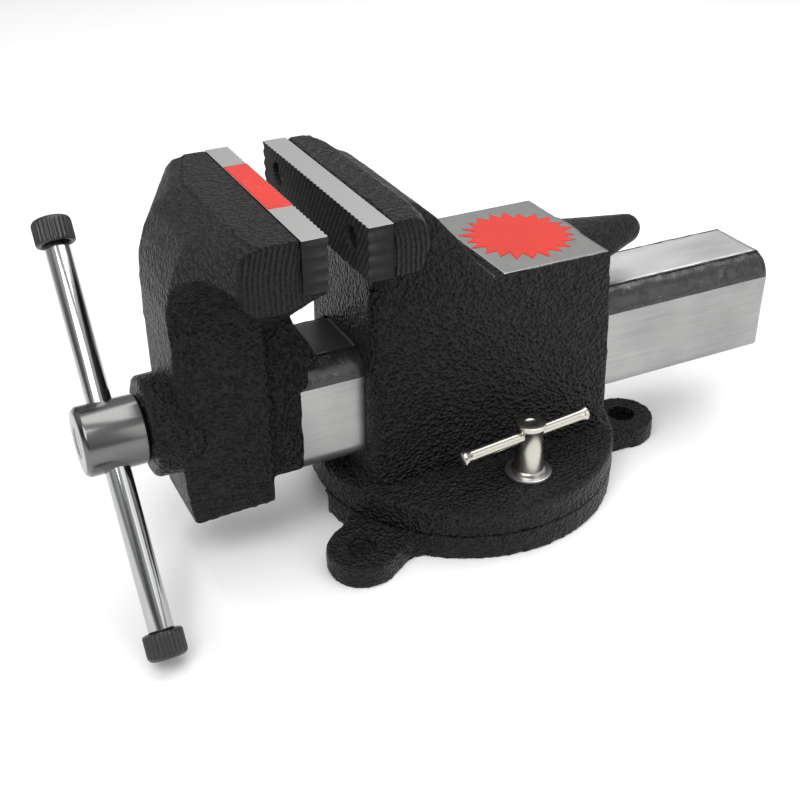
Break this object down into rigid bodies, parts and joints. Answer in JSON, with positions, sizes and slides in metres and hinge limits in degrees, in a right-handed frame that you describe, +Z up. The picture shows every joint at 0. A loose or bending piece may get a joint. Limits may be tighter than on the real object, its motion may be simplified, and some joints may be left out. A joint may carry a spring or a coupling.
{
  "type": "bench vise",
  "caption": "Heavy bench vise with a swivel base, serrated bolt-on jaw plates, an anvil with a horn, a long channel slide bar, a sliding tee handle and swivel lock nuts.",
  "frame": {"origin": "on the swivel axis, in the plane of the underside of the base", "axes": "+Z up from the bench, +Y from the handle towards the tail of the slide bar, +X towards the side with the lock that shows; the jaws clamp along Y"},
  "size_m": [0.2477, 0.4749, 0.2431],
  "materials": {
    "casting": "rough crinkled black paint on cast steel",
    "jaw_plate": "ground top, serrated face",
    "dark_steel": "black oxide",
    "zinc": "bright zinc plate",
    "nickel": "nickel plate",
    "chrome": "turned and polished",
    "cap": "moulded black, ribbed",
    "label": "red vinyl film"
  },
  "bodies": {
    "base": {"swivel_base": "casting", "pivot_bolt": "dark_steel", "pivot_washer": "zinc", "pivot_nut": "dark_steel"},
    "rear_body": {"rear_body": "casting", "rear_jaw_plate": "jaw_plate", "rear_jaw_screws": "dark_steel", "spindle_nut": "dark_steel", "nut_bolts": "dark_steel", "lock_bolt_right": "zinc", "lock_bolt_left": "zinc", "lock_washer_right": "zinc", "lock_washer_left": "zinc", "anvil_label": "label"},
    "front_jaw": {"front_jaw": "casting", "front_jaw_plate": "jaw_plate", "front_jaw_screws": "dark_steel", "thrust_washer": "zinc", "jaw_label": "label"},
    "spindle": {"spindle": "chrome", "spindle_collar": "dark_steel", "collar_pin": "dark_steel"},
    "handle": {"handle_bar": "chrome", "handle_cap_upper": "cap", "handle_cap_lower": "cap"},
    "lock_nut_right": {"lock_nut_right": "nickel"},
    "lock_nut_left": {"lock_nut_left": "nickel"},
    "lock_bar_right": {"lock_bar_right": "nickel"},
    "lock_bar_left": {"lock_bar_left": "nickel"}
  },
  "joints": [
    {"name": "swivel", "type": "hinge", "parent": "base", "child": "rear_body", "pos_m": [0, 0, 0], "axis": [0, 0, 1], "continuous": true},
    {"name": "jaw_slide", "type": "slide", "parent": "rear_body", "child": "front_jaw", "axis": [0, 1, 0], "range_m": [-0.13, 0.022]},
    {"name": "spindle_turn", "type": "hinge", "parent": "front_jaw", "child": "spindle", "pos_m": [0, 0, 0.0935], "axis": [0, 1, 0], "continuous": true},
    {"name": "handle_slide", "type": "slide", "parent": "spindle", "child": "handle", "axis": [-0.617, 0, 0.7869], "range_m": [-0.095, 0.095]},
    {"name": "lock_turn_right", "type": "hinge", "parent": "rear_body", "child": "lock_nut_right", "pos_m": [0.07057, 0.01017, 0], "axis": [0, 0, 1], "range_deg": [-18, 4]},
    {"name": "lock_turn_left", "type": "hinge", "parent": "rear_body", "child": "lock_nut_left", "pos_m": [-0.07057, 0.01017, 0], "axis": [0, 0, 1], "range_deg": [-4, 18]},
    {"name": "lock_bar_slide_right", "type": "slide", "parent": "lock_nut_right", "child": "lock_bar_right", "axis": [-0.1149, 0.9934, 0], "range_m": [-0.031, 0.039]},
    {"name": "lock_bar_slide_left", "type": "slide", "parent": "lock_nut_left", "child": "lock_bar_left", "axis": [0.1149, 0.9934, 0], "range_m": [-0.031, 0.039]}
  ],
  "couplings": [
    {"joint": "spindle_turn", "follows": "jaw_slide", "rad_per_m": 1047.2}
  ]
}
